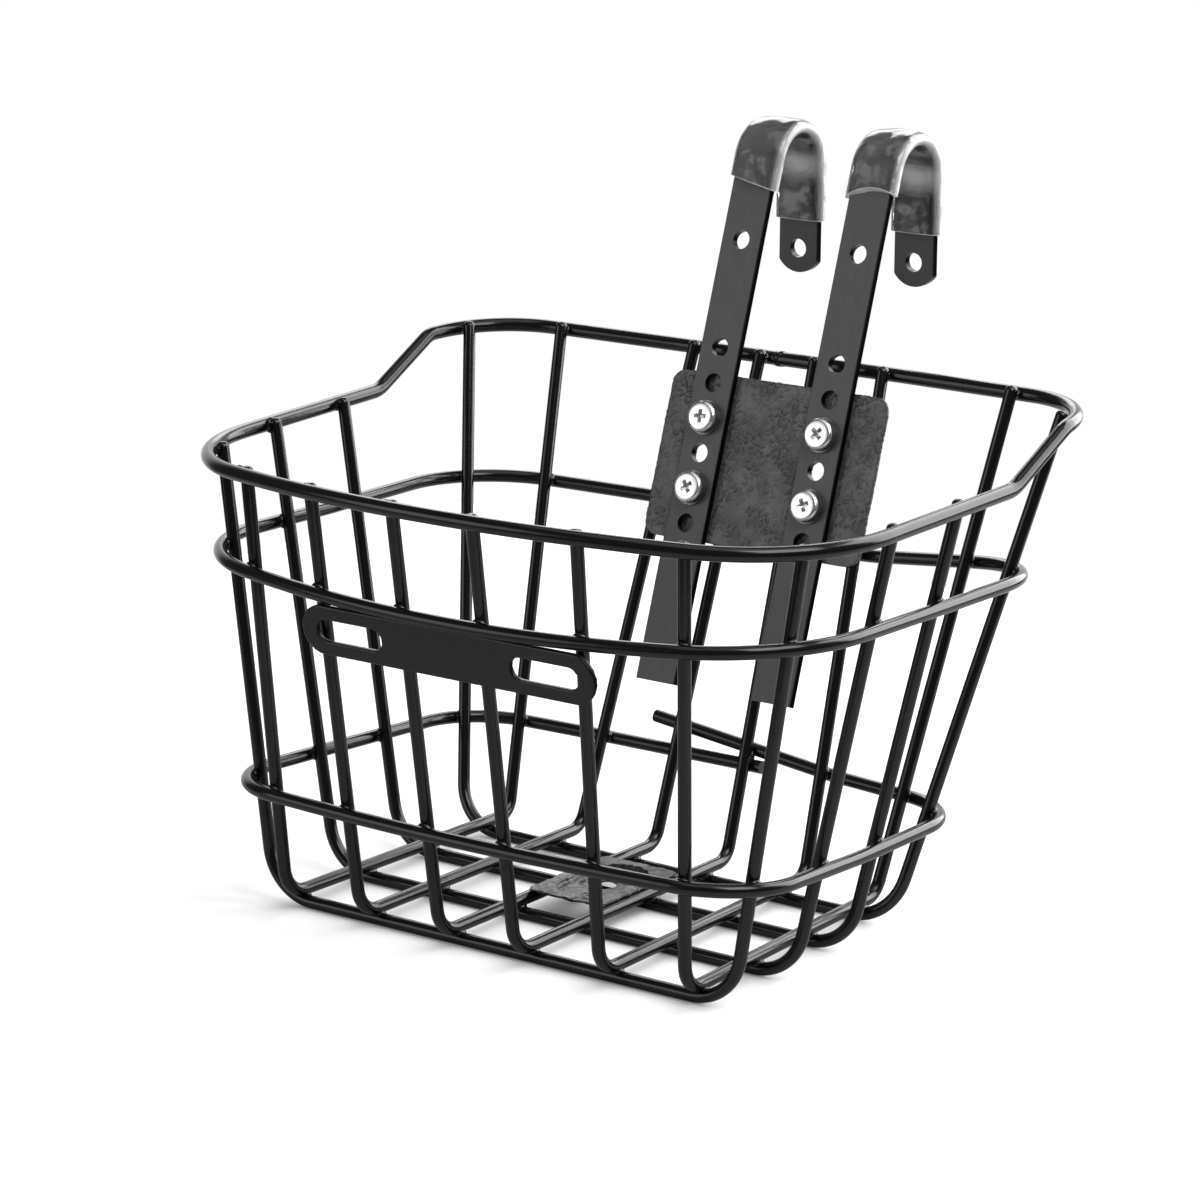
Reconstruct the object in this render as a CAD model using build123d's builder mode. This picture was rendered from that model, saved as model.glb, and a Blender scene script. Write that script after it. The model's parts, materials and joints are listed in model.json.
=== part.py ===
"""Wire handlebar basket with a flat back, two hook straps and a front reflector bracket.

Millimetres, +Z up, +Y to the rear, where the handlebar is. The basket stands on its
cross wires at Z = 0, and the middle of the whole part, hooks included, is over the origin.
"""
import os
from math import cos, radians, sin, tan

from build123d import *

os.makedirs("parts", exist_ok=True)

# ---------------------------------------------------------------- wires, over their coating
rim_r = 2.5
hoop_r = 2.3
cage_r = 2.2                         # the uprights and floor wires, inside the hoops
weld = 0.3                           # how far two wires sink together where they are welded
tip_r = 1.7                          # rounding of the coated tips

# How far above the rim's middle an upright's tip ends, at each side of the basket.
proud = {"left": 2.8, "right": 1.5, "front": 1.8, "back": 3.2}
cross_level = cage_r                 # the cross wires lie on the ground
long_level = 3 * cage_r - weld       # the lengthwise wires lie on the cross wires
cross_bend = 18.5                    # bend radii at the floor
front_bend = 10.0
back_bend = 7.5

# ---------------------------------------------------------------- the basket as a whole
back_height = 170.3                  # middle of the rim wire along the raised flat back
rim_back = 84.91
rear_lean = 18.7                     # degrees the flat back leans outwards
upper_level = 120.0
lower_level = 38.3
lower_slope = -0.05                  # the lower hoop hangs a little lower at the back

# Each outline is half of a hoop seen from above, front middle to back middle: where the
# straight bow ends, the front corner, the back corner and where the flat back begins.
rim_plan = {"front": -125.25, "bow": 42.7, "front_corner": (127.7, -98.75), "front_r": 57.0,
            "back_corner": (126.3, 75.85), "back_r": 35.1, "flat": 44.0}
upper_plan = {"front": -119.65, "bow": 40.5, "front_corner": (121.5, -100.15), "front_r": 48.5,
              "back_corner": (123.0, 59.45), "back_r": 37.0, "flat": 46.0}
lower_plan = {"front": -107.25, "bow": 37.8, "front_corner": (107.8, -100.45), "front_r": 28.5,
              "back_corner": (103.5, 34.25), "back_r": 27.0, "flat": 49.0}
flat_r = 80.0                        # the slight bend where the flat back begins

# The rim's sides climb from the front height to the back height along a step.
step_low = (129.9, 15.8)
step_high = (130.9, 46.3)            # here they also begin to turn inwards
step_low_r = 14.0
step_high_r = 10.4

# The wires are not quite level. Heights of the rim's middle at the bow, the front corner,
# the foot of the step, its top and the back corner.
rim_levels = (154.6, 152.3, 154.8, 170.1, 172.0)

# Heights of each half of a hoop at the bow, the front corner, the middle of the side, the
# back corner, where the flat back begins and at the tip, and x of the tip: the two ends
# lap along the flat back, one above the other.
upper_left = (119.1, 121.3, 120.2, 119.9, 118.7, 118.3, 20.0)
upper_right = (118.9, 122.3, 120.8, 119.8, 110.9, 110.4, -20.0)
lower_left = (43.2, 43.0, 40.4, 37.5, 36.5, 36.7, 19.6)
lower_right = (43.4, 43.2, 39.2, 37.7, 38.7, 46.6, -27.5)
side_r = 300.0                       # bend at the middle of a side

# Where a hoop sits a millimetre higher it also sits this far out, x and y, to stay
# against the leaning uprights: at the bow, front corner, side and back corner.
drifts = ((0.0, -0.2), (0.2, -0.2), (0.2, 0.0), (0.2, 0.3))

# How far round each half hoop an upright stands: (on the rim, on the lower hoop).
cross_stations = [(0.3115, 0.3326), (0.4108, 0.4468), (0.5010, 0.5527), (0.6813, 0.6815)]
front_stations = [(0.2148, 0.2551), (0.1293, 0.1530), (0.0388, 0.0476)]
back_stations = [(0.7748, 0.7537), (0.9060, 0.8603), (0.9728, 0.9561)]

# ---------------------------------------------------------------- plates and fittings
plate_t = 1.4
touch = 0.05                         # a plate is pressed this far onto its wires
rear_plate_size = (90.0, 59.5)
rear_plate_x = 1.5
rear_plate_drop = 1.0                # its middle is below the middle of the strap slots
rear_plate_corner = 5.5
slot_level = 136.0                   # height of the slots' middle, at the uprights
slot_w = 7.0

bracket_size = (116.6, 17.2)
bracket_x = 2.7
bracket_level = 108.8
bracket_t = 2.0
bracket_slot = (26.2, 7.4)
bracket_slot_pitch = 77.6

floor_plate_size = (31.4, 46.0)
floor_plate_y = -27.0
floor_plate_corner = 3.0
dish_size = (24.0, 40.0)
dish_depth = 1.6
stay_hole_r = 4.3

# ---------------------------------------------------------------- hook straps
strap_w = 16.2
strap_t = 2.8
strap_edge_r = 0.4
strap_x = 24.2
hole_r = 3.35
row_pitch = 12.5
row_from = -25.0                     # lowest hole of the row, measured from the slots' middle
row_count = 6
strap_foot = -81.4
hook_hole = 76.1
hook_from = 106.2                    # the hook's bend starts here
hook_r = 13.8                        # bend radius of the strap's middle
hook_tail = 40.3                     # straight tail behind the handlebar
tail_hole = 31.6                     # its hole, below the bend's middle
tail_round = 9.5                     # radius of the tail's end
sleeve_wall = 1.2
sleeve_front = 9.8                   # it reaches this far below the bend in front
sleeve_back = 21.2                   # and this far below it behind

# ---------------------------------------------------------------- M6 fasteners
shank_r = 3.0
head_r = 5.6
head_h = 3.3
head_edge_r = 1.3
washer_r = 6.1
washer_t = 1.0
washer_hole_r = 3.2
recess = (6.4, 1.3, 1.9)             # cross recess: across, arm width, depth
recess_turn = 35.0
nut_across = 10.0
nut_h = 3.2                          # thin nuts, so the hoop behind them stays clear
screw_reach = 10.0                   # length under the head

# ================================================================= helpers
lean = tan(radians(rear_lean))


def back_axis(z):
    """Y of the uprights' middles in the flat back at this height."""
    return rim_back - (rim_r + cage_r - weld) - (back_height - z) * lean


def behind_back(z):
    """Y of a hoop's middle where it runs along the outside of the flat back."""
    return back_axis(z) + hoop_r + cage_r - weld


def half_points(plan, back_y, height):
    """Corner points of half a hoop, from the front middle to the back middle."""
    corners = [
        (0, plan["front"]),
        (plan["bow"], plan["front"]),
        plan["front_corner"],
        plan["back_corner"],
        (plan["flat"], back_y),
        (0, back_y),
    ]
    return [Vector(x, y, height(y)) for x, y in corners]


def bow_radius(points, corner_r):
    """Largest radius at the bow that leaves a short straight on both sides of it."""
    into = points[1] - points[0]
    out = points[2] - points[1]
    turn = radians(into.get_angle(out))
    corner_turn = radians(out.get_angle(points[3] - points[2]))
    room = min(into.length, out.length - corner_r * tan(corner_turn / 2))
    return 0.985 * room / tan(turn / 2)


def mirrored(point):
    return Vector(-point.X, point.Y, point.Z)


def bent_wire(points, radii, wire_r):
    """A round wire: straight runs through these points, joined by bends."""
    with BuildPart() as wire:
        with BuildLine() as path:
            FilletPolyline(*points, radius=radii)
        with BuildSketch(Plane(origin=path.line @ 0, z_dir=path.line % 0)):
            Circle(wire_r)
        sweep()
    return wire.part


def half_line(points, radii):
    with BuildLine() as path:
        FilletPolyline(*points, radius=radii)
    return path.line


def beside(line, station, gap):
    """The point this far round a half hoop, moved into the basket by the gap."""
    along = line % station
    flat = Vector(along.X, along.Y, 0).normalized()
    return line @ station + Vector(-flat.Y, flat.X, 0) * gap


def upright(stations, level, tip_height):
    """Floor end and top end of an upright that touches the rim and the lower hoop."""
    top = beside(rim_line, stations[0], rim_r + cage_r - weld)
    low = beside(lower_line, stations[1], hoop_r + cage_r - weld)
    slope = (top - low) * (1 / (top.Z - low.Z))
    return top + slope * (level - top.Z), top + slope * tip_height


def node(part, name):
    """Write one named piece."""
    part.label = name
    export_step(part, f"parts/{name}.step")
    print(f"{name}: {part.volume:.0f} mm3, {len(part.solids())} solid(s)")


# ================================================================= outlines of the hoops
def lower_height(y):
    return lower_level + lower_slope * y


lower_back = lower_height(behind_back(lower_level))
rim_half = half_points(rim_plan, rim_back, lambda y: back_height)
bow_level, corner_level, foot_level, top_level, back_corner_level = rim_levels
rim_points = [
    Vector(0, rim_plan["front"], bow_level),
    Vector(rim_plan["bow"], rim_plan["front"], bow_level),
    Vector(*rim_plan["front_corner"], corner_level),
    Vector(*step_low, foot_level),
    Vector(*step_high, top_level),
    Vector(*rim_plan["back_corner"], back_corner_level),
] + rim_half[4:]
rim_radii = [bow_radius(rim_half, rim_plan["front_r"]), rim_plan["front_r"],
             step_low_r, step_high_r, rim_plan["back_r"], flat_r]
rim_line = half_line(rim_points, rim_radii)

upper_half = half_points(upper_plan, behind_back(upper_level), lambda y: upper_level)
upper_radii = [bow_radius(upper_half, upper_plan["front_r"]), upper_plan["front_r"],
               upper_plan["back_r"], flat_r]
lower_half = half_points(lower_plan, behind_back(lower_back), lower_height)
lower_radii = [bow_radius(lower_half, lower_plan["front_r"]), lower_plan["front_r"],
               lower_plan["back_r"], flat_r]
lower_line = half_line(lower_half, lower_radii)

# ================================================================= rim and hoops
with BuildPart() as rim:
    add(bent_wire(rim_points, rim_radii, rim_r))
    mirror(about=Plane.YZ)
node(rim.part, "rim")


def lapped_half(half, sign, levels):
    """One side of a hoop, from its bow to its tip, at these levels."""
    *around, flat_level, tip_level, tip_x = levels
    corners = [half[1], half[2], (half[2] + half[3]) / 2, half[3]]
    points = [
        corner + Vector(*drift, 1) * (level - corner.Z)
        for corner, drift, level in zip(corners, drifts, around)
    ]
    points.append(Vector(half[4].X, behind_back(flat_level), flat_level))
    points.append(Vector(sign * tip_x, behind_back(tip_level), tip_level))
    return [Vector(sign * p.X, p.Y, p.Z) for p in points]


def lapped_hoop(half, radii, left, right):
    """A hoop whose two ends pass each other along the flat back, one above the other."""
    points = lapped_half(half, -1, left)[::-1] + lapped_half(half, 1, right)
    side_radii = radii[:2] + [side_r] + radii[2:]
    return bent_wire(points, side_radii[::-1] + side_radii, hoop_r)


node(lapped_hoop(upper_half, upper_radii, upper_left, upper_right), "upper_hoop")
node(lapped_hoop(lower_half, lower_radii, lower_left, lower_right), "lower_hoop")

# ================================================================= cage wires
def cage_wire(route, radii):
    """A U-shaped wire of the cage with its two coated tips rounded."""
    wire = bent_wire(route, radii, cage_r)
    circles = wire.edges().filter_by(GeomType.CIRCLE)
    tips = [circles.sort_by_distance(tip)[0] for tip in (route[0], route[-1])]
    return fillet(tips, radius=tip_r)


for number, stations in enumerate(cross_stations, start=1):
    foot, left_tip = upright(stations, cross_level, proud["left"])
    foot, right_tip = upright(stations, cross_level, proud["right"])
    route = [mirrored(left_tip), mirrored(foot), foot, right_tip]
    node(cage_wire(route, [cross_bend, cross_bend]), f"cross_wire_{number}")

for pair, (front, back) in enumerate(zip(front_stations, back_stations)):
    front_foot, front_tip = upright(front, long_level, proud["front"])
    back_foot, back_tip = upright(back, long_level, proud["back"])
    route = [front_tip, front_foot, back_foot, back_tip]
    left_route = [mirrored(p) for p in route]
    node(cage_wire(route, [front_bend, back_bend]), f"long_wire_{6 - pair}")
    node(cage_wire(left_route, [front_bend, back_bend]), f"long_wire_{pair + 1}")

# ================================================================= rear plate
# In this frame X is across, Y is up along the flat back and Z points into the basket;
# its origin is between the uprights' middles, at the height of the slots' middle.
back_plane = Plane(
    origin=(0, back_axis(slot_level), slot_level),
    x_dir=(1, 0, 0),
    z_dir=(0, -cos(radians(rear_lean)), sin(radians(rear_lean))),
)
plate_back = cage_r - touch
plate_front = plate_back + plate_t
strap_front = plate_front + strap_t
strap_xs = (-strap_x, strap_x)
screw_spots = [(x, y) for x in strap_xs for y in (-row_pitch, row_pitch)]

with BuildPart() as rear_plate:
    with BuildSketch(back_plane.offset(plate_back)):
        with Locations((rear_plate_x, -rear_plate_drop)):
            RectangleRounded(*rear_plate_size, rear_plate_corner)
        with Locations((-strap_x, 0), (strap_x, 0)):
            SlotCenterToCenter(2 * row_pitch, slot_w, rotation=90, mode=Mode.SUBTRACT)
    extrude(amount=plate_t)
node(rear_plate.part, "rear_plate")

# ================================================================= hook straps and sleeves
strap_middle = back_plane.offset((plate_front + strap_front) / 2)
hook_start = strap_middle.from_local_coords(Vector(0, hook_from, 0))
hook_middle = hook_start - back_plane.z_dir * hook_r
half_turn = radians((180 - rear_lean) / 2)
hook_top = hook_middle + Vector(0, cos(half_turn), sin(half_turn)) * hook_r
tail_start = hook_middle + Vector(0, hook_r, 0)


def hook_line(front_end, tail_length):
    """The strap's middle line: up the front leg, over the bar and down the tail."""
    with BuildLine() as line:
        Line(front_end, hook_start)
        ThreePointArc(hook_start, hook_top, tail_start)
        Line(tail_start, tail_start - Vector(0, 0, tail_length))
    return line.line


foot_middle = strap_middle.from_local_coords(Vector(0, strap_foot, 0))
tail_end = Plane(
    origin=tail_start - Vector(0, 0, hook_tail), x_dir=(1, 0, 0), z_dir=(0, -1, 0)
)
with BuildPart() as strap:
    with BuildLine():
        add(hook_line(foot_middle, hook_tail))
    with BuildSketch(Plane(origin=foot_middle, x_dir=(1, 0, 0), z_dir=back_plane.y_dir)):
        RectangleRounded(strap_w, strap_t, strap_edge_r)
    sweep()
    with BuildSketch(strap_middle):
        with Locations([(0, row_from + n * row_pitch) for n in range(row_count)]):
            Circle(hole_r)
        with Locations((0, hook_hole)):
            Circle(hole_r)
    extrude(amount=strap_t, both=True, mode=Mode.SUBTRACT)
    with BuildSketch(tail_end):
        with Locations((0, tail_round / 2)):
            Rectangle(strap_w + 1, tail_round)
        with Locations((0, tail_round)):
            Circle(tail_round, mode=Mode.SUBTRACT)
        with Locations((0, hook_tail - tail_hole)):
            Circle(hole_r)
    extrude(amount=strap_t, both=True, mode=Mode.SUBTRACT)

sleeve_middle = strap_middle.from_local_coords(Vector(0, hook_from - sleeve_front, 0))
with BuildPart() as sleeve:
    with BuildLine():
        add(hook_line(sleeve_middle, sleeve_back))
    with BuildSketch(Plane(origin=sleeve_middle, x_dir=(1, 0, 0), z_dir=back_plane.y_dir)):
        SlotOverall(strap_w + strap_t + 2 * sleeve_wall, strap_t + 2 * sleeve_wall)
        SlotOverall(strap_w + strap_t, strap_t, mode=Mode.SUBTRACT)
    sweep()

for side_name, x in (("left", -strap_x), ("right", strap_x)):
    node(Pos(x, 0, 0) * strap.part, f"hook_strap_{side_name}")
    node(Pos(x, 0, 0) * sleeve.part, f"clear_sleeve_{side_name}")

# ================================================================= fasteners
with BuildPart() as screws:
    with BuildSketch(back_plane.offset(strap_front + washer_t)):
        with Locations(screw_spots):
            Circle(head_r)
    extrude(amount=head_h)
    crowns = screws.edges().group_by(Axis(back_plane.origin, back_plane.z_dir))[-1]
    fillet(crowns, radius=head_edge_r)
    with BuildSketch(back_plane.offset(strap_front + washer_t)):
        with Locations(screw_spots):
            Circle(shank_r)
    extrude(amount=-screw_reach)
    with BuildSketch(back_plane.offset(strap_front + washer_t + head_h)):
        with Locations(screw_spots):
            Rectangle(recess[0], recess[1], rotation=recess_turn)
            Rectangle(recess[1], recess[0], rotation=recess_turn)
    extrude(amount=-recess[2], mode=Mode.SUBTRACT)
node(screws.part, "clamp_screws")

with BuildPart() as washers:
    with BuildSketch(back_plane.offset(strap_front)):
        with Locations(screw_spots):
            Circle(washer_r)
            Circle(washer_hole_r, mode=Mode.SUBTRACT)
    extrude(amount=washer_t)
node(washers.part, "clamp_washers")

with BuildPart() as nuts:
    with BuildSketch(back_plane.offset(plate_back)):
        with Locations(screw_spots):
            RegularPolygon(nut_across / 2, 6, major_radius=False)
            Circle(shank_r, mode=Mode.SUBTRACT)
    extrude(amount=-nut_h)
node(nuts.part, "clamp_nuts")

# ================================================================= reflector bracket
bracket_foot, bracket_tip = upright(front_stations[2], long_level, 0)
bracket_up = (bracket_tip - bracket_foot) * (1 / (bracket_tip.Z - bracket_foot.Z))
bracket_spot = bracket_foot + bracket_up * (bracket_level - bracket_foot.Z)
front_plane = Plane(
    origin=(0, bracket_spot.Y, bracket_spot.Z),
    x_dir=(1, 0, 0),
    z_dir=(0, -1, bracket_up.Y),
)
with BuildPart() as bracket:
    with BuildSketch(front_plane.offset(cage_r - touch)):
        with Locations((bracket_x, 0)):
            SlotOverall(*bracket_size)
            with Locations((-bracket_slot_pitch / 2, 0), (bracket_slot_pitch / 2, 0)):
                SlotOverall(*bracket_slot, mode=Mode.SUBTRACT)
    extrude(amount=bracket_t)
node(bracket.part, "reflector_bracket")

# ================================================================= floor plate
floor_level = long_level + cage_r - touch
with BuildPart() as floor_plate:
    with BuildSketch(Plane.XY.offset(floor_level)):
        with Locations((0, floor_plate_y)):
            RectangleRounded(*floor_plate_size, floor_plate_corner)
    extrude(amount=plate_t)
    with BuildSketch(Plane.XY.offset(floor_level)):
        with Locations((0, floor_plate_y)):
            SlotOverall(dish_size[1], dish_size[0], rotation=90)
    extrude(amount=-dish_depth)
    with BuildSketch(Plane.XY.offset(floor_level + plate_t)):
        with Locations((0, floor_plate_y)):
            SlotOverall(dish_size[1] - 2 * plate_t, dish_size[0] - 2 * plate_t, rotation=90)
    extrude(amount=-dish_depth, mode=Mode.SUBTRACT)
    with BuildSketch(Plane.XY.offset(floor_level)):
        with Locations((0, floor_plate_y)):
            Circle(stay_hole_r)
    extrude(amount=-dish_depth, mode=Mode.SUBTRACT)
node(floor_plate.part, "floor_plate")
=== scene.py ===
# %% [markdown]
# # A coated wire basket, from bare frame to finished picture
# The engineering model gives every wire, plate, strap and screw its true size and place.
# This lesson adds what that model leaves plain: the coating that pools at the welds, the
# wrinkle paint on the plates, the clear tubes over the hooks, the screws and nuts, and the
# light on it all.

# %% Load the frame
import json
import math

import bmesh
import bpy
from mathutils import Matrix, Vector


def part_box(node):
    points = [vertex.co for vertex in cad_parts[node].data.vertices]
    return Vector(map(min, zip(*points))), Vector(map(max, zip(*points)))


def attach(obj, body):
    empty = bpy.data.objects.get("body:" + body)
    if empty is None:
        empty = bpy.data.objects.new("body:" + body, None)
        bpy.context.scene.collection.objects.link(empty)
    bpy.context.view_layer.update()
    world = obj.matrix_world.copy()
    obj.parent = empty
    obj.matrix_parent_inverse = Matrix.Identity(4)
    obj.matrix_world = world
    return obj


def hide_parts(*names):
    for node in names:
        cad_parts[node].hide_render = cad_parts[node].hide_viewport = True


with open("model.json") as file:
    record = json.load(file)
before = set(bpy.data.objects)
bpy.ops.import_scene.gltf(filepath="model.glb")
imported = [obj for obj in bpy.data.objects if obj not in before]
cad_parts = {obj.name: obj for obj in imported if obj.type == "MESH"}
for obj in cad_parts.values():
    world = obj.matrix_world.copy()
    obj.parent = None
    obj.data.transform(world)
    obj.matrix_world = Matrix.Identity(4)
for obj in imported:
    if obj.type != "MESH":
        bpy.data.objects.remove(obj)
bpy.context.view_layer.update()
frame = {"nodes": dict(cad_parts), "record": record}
nodes = frame["nodes"]
BODY = "basket"
MM = 0.001


def in_mm(point):
    """A point's coordinates in millimetres, for printing."""
    return [round(value / MM, 1) for value in point]


# %% [markdown]
# ## Colours and shader nodes
# Paint charts and colour pickers give sRGB values, but a shader works in linear light, so
# one function turns a hex value to linear. A second small function adds a node of any kind
# with its settings and links, which keeps the material cells short enough to read.

# %% Colour and node helpers
def linear(hex_value):
    """An sRGB hex value such as '1a1a1a' as linear red, green, blue and alpha 1."""
    channels = [int(hex_value[i:i + 2], 16) / 255 for i in (0, 2, 4)]
    return [c / 12.92 if c <= 0.04045 else ((c + 0.055) / 1.055) ** 2.4 for c in channels] + [1]


def add_node(tree, kind, settings=None, **sockets):
    """Add a shader node. A socket's value may be a number, a colour or another socket."""
    node = tree.nodes.new(kind)
    for name, value in (settings or {}).items():
        setattr(node, name, value)
    for name, value in sockets.items():
        socket = node.inputs[name.replace("_", " ")]
        if isinstance(value, bpy.types.NodeSocket):
            tree.links.new(value, socket)
        else:
            socket.default_value = value
    return node


def new_material(name):
    """An empty node material and its tree."""
    material = bpy.data.materials.new(name)
    material.use_nodes = True
    material.node_tree.nodes.clear()
    return material, material.node_tree


def finish_material(tree, surface):
    """Send a finished shader to its material's output."""
    output = add_node(tree, "ShaderNodeOutputMaterial")
    tree.links.new(surface.outputs[0], output.inputs["Surface"])


# %% [markdown]
# ## The coating on the wires
# The welded frame is dipped in black plastisol, a PVC coating that flows before it sets. It
# is a dielectric with an index near 1.5, smooth and glossy, with a faint waviness a few
# millimetres long where it ran, so highlights along a wire wander slightly.

# %% Plastisol coating
def plastisol_coating():
    material, tree = new_material("plastisol_dip_coating")
    where = add_node(tree, "ShaderNodeTexCoord")
    runs = add_node(tree, "ShaderNodeTexNoise", Vector=where.outputs["Object"],
                    Scale=1 / (7 * MM), Detail=1.0, Roughness=0.4)
    wavy = add_node(tree, "ShaderNodeBump", Strength=0.3, Distance=0.25 * MM,
                    Height=runs.outputs["Fac"])
    shader = add_node(tree, "ShaderNodeBsdfPrincipled", Base_Color=linear("070708"),
                      Roughness=0.18, IOR=1.5, Normal=wavy.outputs["Normal"])
    finish_material(tree, shader)
    return material


# %% [markdown]
# ## The paint on the plates
# The two welded plates have a wrinkle paint: it shrinks as it cures, and its skin folds
# into short rounded ridges a millimetre or two apart. The ridges are real relief, made
# further down. The material adds what is finer: a grain on the ridges and a drift in gloss
# where the paint lies thicker. It also paints light by height: the paler tone on the ridges
# is a painted highlight, and the darker valleys are painted shade. An attribute called
# ridge says how high each point lies.

# %% Wrinkle paint
def wrinkle_paint(name, shaded_valley_colour, lit_ridge_colour, least_roughness):
    material, tree = new_material(name)
    where = add_node(tree, "ShaderNodeTexCoord")
    drift = add_node(tree, "ShaderNodeTexNoise", Vector=where.outputs["Object"],
                     Scale=1 / (9 * MM), Detail=2.0)
    gloss = add_node(tree, "ShaderNodeMapRange", Value=drift.outputs["Fac"],
                     From_Min=0.35, From_Max=0.65,
                     To_Min=least_roughness, To_Max=least_roughness + 0.16)
    grain = add_node(tree, "ShaderNodeTexNoise", Vector=where.outputs["Object"],
                     Scale=1 / (0.8 * MM), Detail=2.0)
    bump = add_node(tree, "ShaderNodeBump", Strength=0.35, Distance=0.08 * MM,
                    Height=grain.outputs["Fac"])
    height = add_node(tree, "ShaderNodeAttribute", {"attribute_name": "ridge"})
    # Painted highlight on the ridges and painted shade in the valleys, set by height.
    ridge_light = add_node(tree, "ShaderNodeMapRange", Value=height.outputs["Fac"], From_Min=0.3,
                      From_Max=0.9)
    paint = add_node(tree, "ShaderNodeMix", {"data_type": "RGBA"})
    tree.links.new(ridge_light.outputs["Result"], paint.inputs[0])
    paint.inputs[6].default_value = linear(shaded_valley_colour)
    paint.inputs[7].default_value = linear(lit_ridge_colour)
    shader = add_node(tree, "ShaderNodeBsdfPrincipled", Base_Color=paint.outputs[2],
                      Roughness=gloss.outputs["Result"], IOR=1.5,
                      Normal=bump.outputs["Normal"])
    finish_material(tree, shader)
    return material


# %% [markdown]
# ## Satin paint on the straps and the strip
# The straps and the reflector strip are blanked from rolled sheet and electro-coated. The
# coat is thin and even, so the fine lengthwise lines of the rolled sheet still show in its
# satin sheen. The lines are drawn 0.5 mm apart, coarser than real ones, so that they show.
# Faces that point sideways, the sheared edges and the walls of the holes, are drawn darker and
# with no reflection: painted shade.

# %% Satin electro-coat
def satin_coat(name, colour, shaded_side_colour, roughness, stretch):
    """Satin paint. A small number in stretch draws the rolled lines out along that axis."""
    material, tree = new_material(name)
    where = add_node(tree, "ShaderNodeTexCoord")
    rolled = add_node(tree, "ShaderNodeMapping", Vector=where.outputs["Object"], Scale=stretch)
    lines = add_node(tree, "ShaderNodeTexNoise", Vector=rolled.outputs["Vector"],
                     Scale=1 / (0.5 * MM), Detail=2.0)
    sheen = add_node(tree, "ShaderNodeMapRange", Value=lines.outputs["Fac"], From_Min=0.3,
                     From_Max=0.7, To_Min=roughness - 0.05, To_Max=roughness + 0.05)
    bump = add_node(tree, "ShaderNodeBump", Strength=0.25, Distance=0.05 * MM,
                    Height=lines.outputs["Fac"])
    facing = add_node(tree, "ShaderNodeNewGeometry")
    parts = add_node(tree, "ShaderNodeSeparateXYZ", Vector=facing.outputs["True Normal"])
    sideways = add_node(tree, "ShaderNodeMath", {"operation": "ABSOLUTE"})
    tree.links.new(parts.outputs["X"], sideways.inputs[0])
    # Faces that point along X are drawn darker and lose their reflection: painted shade.
    paint = add_node(tree, "ShaderNodeMix", {"data_type": "RGBA"})
    tree.links.new(sideways.outputs[0], paint.inputs[0])
    paint.inputs[6].default_value = linear(colour)
    paint.inputs[7].default_value = linear(shaded_side_colour)
    shine = add_node(tree, "ShaderNodeMapRange", Value=sideways.outputs[0], From_Min=0.3,
                     From_Max=1.0, To_Min=0.5, To_Max=0.0)
    shader = add_node(tree, "ShaderNodeBsdfPrincipled", Base_Color=paint.outputs[2],
                      Roughness=sheen.outputs["Result"], IOR=1.5,
                      Specular_IOR_Level=shine.outputs["Result"],
                      Normal=bump.outputs["Normal"])
    finish_material(tree, shader)
    return material


# %% [markdown]
# ## Zinc plate
# The screws, washers and nuts are steel with bright zinc plate: a pale metal whose polish
# is slightly hazy, with faint clouds a few millimetres wide left by the plating bath. Shade
# is painted on it as a dark, less metallic grey: round the skirt of a screw's head, and
# less in its recess. An attribute says how much.

# %% Zinc plate
def zinc_plate(name, colour, least_haze):
    """Zinc plate of one colour. The haze is its least roughness, and drifts up from there."""
    material, tree = new_material(name)
    where = add_node(tree, "ShaderNodeTexCoord")
    clouds = add_node(tree, "ShaderNodeTexNoise", Vector=where.outputs["Object"],
                      Scale=1 / (3 * MM), Detail=3.0)
    haze = add_node(tree, "ShaderNodeMapRange", Value=clouds.outputs["Fac"], From_Min=0.35,
                    From_Max=0.65, To_Min=least_haze, To_Max=least_haze + 0.12)
    shade_amount = add_node(tree, "ShaderNodeAttribute", {"attribute_name": "painted_shade"})
    # Painted shade: a dark, less metallic grey where the attribute says.
    coat = add_node(tree, "ShaderNodeMix", {"data_type": "RGBA"})
    tree.links.new(shade_amount.outputs["Fac"], coat.inputs[0])
    coat.inputs[6].default_value = linear(colour)
    coat.inputs[7].default_value = linear("3c3c3b")
    bare = add_node(tree, "ShaderNodeMapRange", Value=shade_amount.outputs["Fac"], To_Min=1.0, To_Max=0.3)
    shader = add_node(tree, "ShaderNodeBsdfPrincipled", Base_Color=coat.outputs[2],
                      Metallic=bare.outputs["Result"], Roughness=haze.outputs["Result"])
    finish_material(tree, shader)
    return material


# %% [markdown]
# ## Clear vinyl
# The tubes are soft clear PVC, with an index of about 1.53 and glossy faces that wave a
# little. Where the wall is folded round the strap's edge or is cut through, light scatters
# in it and it turns milky. Where it has buckled, the same pale grey is a painted
# reflection. An attribute says how much pale grey each point gets.

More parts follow.
